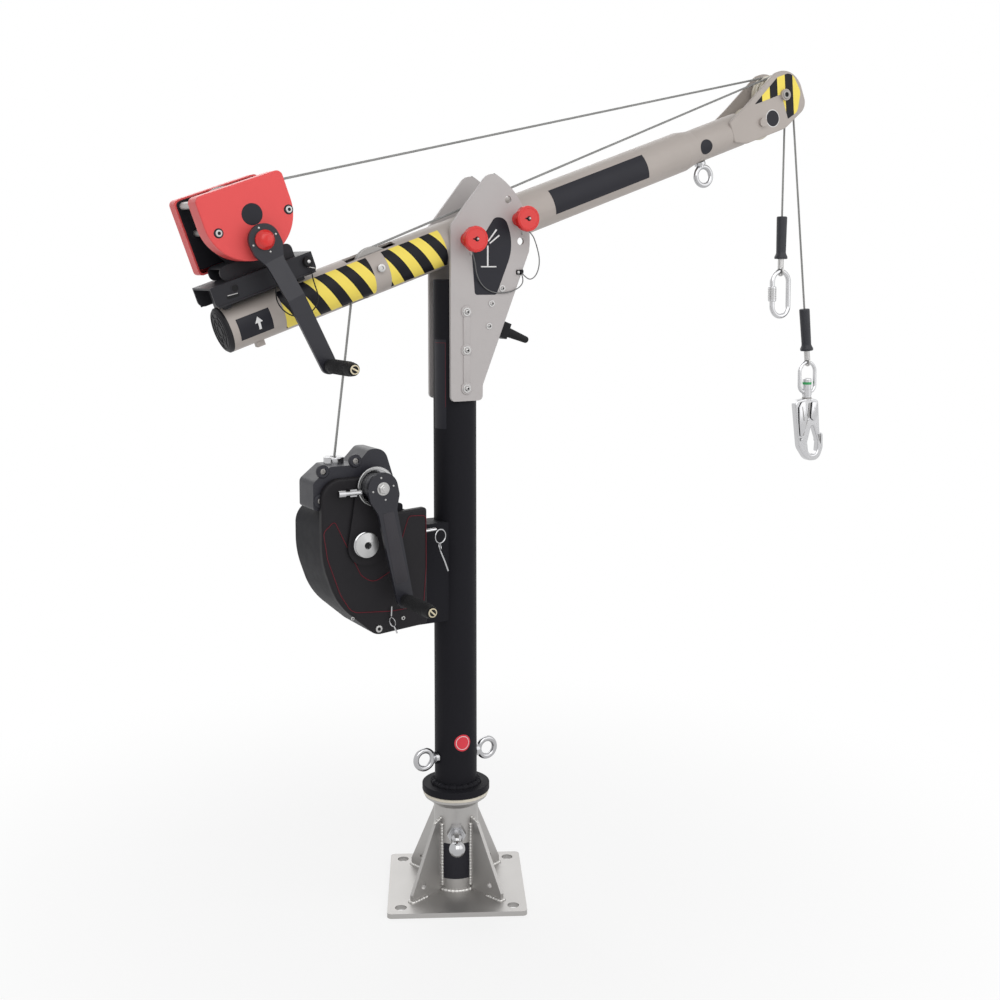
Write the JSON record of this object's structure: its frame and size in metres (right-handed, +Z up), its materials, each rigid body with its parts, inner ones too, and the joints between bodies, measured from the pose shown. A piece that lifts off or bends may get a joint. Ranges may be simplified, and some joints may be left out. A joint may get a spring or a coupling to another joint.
{
  "type": "floor mounted davit",
  "caption": "Floor mounted rescue davit: bolted base, swivelling mast, pinned boom with sheaves, crank winch, rope retriever, carabiner and snap hook.",
  "frame": {"origin": "centre of the base plate's underside, on the mast's axis", "axes": "+Z up along the mast, +X along the boom towards its tip, the cranks towards -Y"},
  "size_m": [1.5727, 0.4281, 1.7701],
  "materials": {
    "stainless": "satin",
    "zinc": "bright plated",
    "black_paint": "satin powder coat",
    "grey_paint": "satin paint",
    "red_paint": "satin paint",
    "red_plastic": "gloss",
    "black_plastic": "moulded",
    "rubber": "matte",
    "nylon": "moulded",
    "wire_rope": "stranded wire"
  },
  "bodies": {
    "base": {"base_plate": "stainless", "base_sleeve": "stainless", "bearing_ring": "nylon", "gusset_front_left": "stainless", "gusset_front_right": "stainless", "gusset_rear_right": "stainless", "gusset_rear_left": "stainless", "index_plunger": "stainless"},
    "mast": {"mast_tube": "black_paint", "mast_collar": "black_paint", "mast_eye_left": "zinc", "mast_eye_right": "zinc", "head_plate_front": "grey_paint", "head_plate_rear": "grey_paint", "pivot_pin": "red_plastic", "lock_pin": "red_plastic", "carrying_handle": "rubber", "boom_tube": "grey_paint", "boom_end_cap": "black_plastic", "boom_eye": "zinc", "boom_pulley": "zinc", "tip_cheek_front": "grey_paint", "tip_cheek_rear": "grey_paint", "tip_axles": "stainless", "winch_rail": "black_paint", "winch_foot": "black_paint", "winch_side_front": "black_paint", "winch_side_rear": "black_paint", "winch_cover_front": "red_paint", "winch_cover_rear": "red_paint", "winch_rods": "stainless", "winch_drum": "zinc", "wound_rope": "wire_rope", "retriever_housing": "black_plastic", "retriever_cover": "black_plastic", "retriever_carrier": "black_paint", "mast_bracket": "black_paint", "retriever_top_block": "black_plastic", "retriever_fittings": "zinc", "winch_rope": "wire_rope", "retriever_rope": "wire_rope", "rope_sleeves": "rubber", "rope_thimbles": "zinc", "carabiner": "zinc", "screw_sleeve": "zinc", "swivel_link": "zinc", "lock_pin_lanyard": "wire_rope", "pivot_pin_lanyard": "wire_rope", "rail_pin_lanyard": "wire_rope"},
    "winch_crank": {"winch_crank": "black_paint", "winch_dome": "red_plastic"},
    "winch_grip": {"winch_grip": "black_plastic"},
    "retriever_crank": {"retriever_crank": "black_paint"},
    "retriever_grip": {"retriever_grip": "black_plastic"},
    "sheave_front": {"tip_sheave_front": "nylon"},
    "sheave_rear": {"tip_sheave_rear": "nylon"},
    "roller": {"tip_roller": "nylon"},
    "hook": {"snap_hook": "zinc"}
  },
  "joints": [
    {"name": "mast_swivel", "type": "hinge", "parent": "base", "child": "mast", "pos_m": [0, 0, 0], "axis": [0, 0, 1], "continuous": true},
    {"name": "winch_crank_turn", "type": "hinge", "parent": "mast", "child": "winch_crank", "pos_m": [-0.44741, -0.082, 1.36426], "axis": [0, 1, 0], "continuous": true},
    {"name": "winch_grip_spin", "type": "hinge", "parent": "winch_crank", "child": "winch_grip", "pos_m": [-0.33014, -0.15, 1.13109], "axis": [0, 1, 0], "continuous": true},
    {"name": "retriever_crank_turn", "type": "hinge", "parent": "mast", "child": "retriever_crank", "pos_m": [-0.218, -0.075, 0.889], "axis": [0, 1, 0], "continuous": true},
    {"name": "retriever_grip_spin", "type": "hinge", "parent": "retriever_crank", "child": "retriever_grip", "pos_m": [-0.17176, -0.17, 0.66574], "axis": [0, 1, 0], "continuous": true},
    {"name": "sheave_front_spin", "type": "hinge", "parent": "mast", "child": "sheave_front", "pos_m": [0.84695, -0.012, 1.71441], "axis": [0, 1, 0], "continuous": true},
    {"name": "sheave_rear_spin", "type": "hinge", "parent": "mast", "child": "sheave_rear", "pos_m": [0.84695, 0.012, 1.71441], "axis": [0, 1, 0], "continuous": true},
    {"name": "roller_spin", "type": "hinge", "parent": "mast", "child": "roller", "pos_m": [0.78145, 0, 1.64773], "axis": [0, 1, 0], "continuous": true},
    {"name": "hook_swivel", "type": "hinge", "parent": "mast", "child": "hook", "pos_m": [0.95668, -0.012, 1.01622], "axis": [0, 0, 1], "continuous": true}
  ]
}
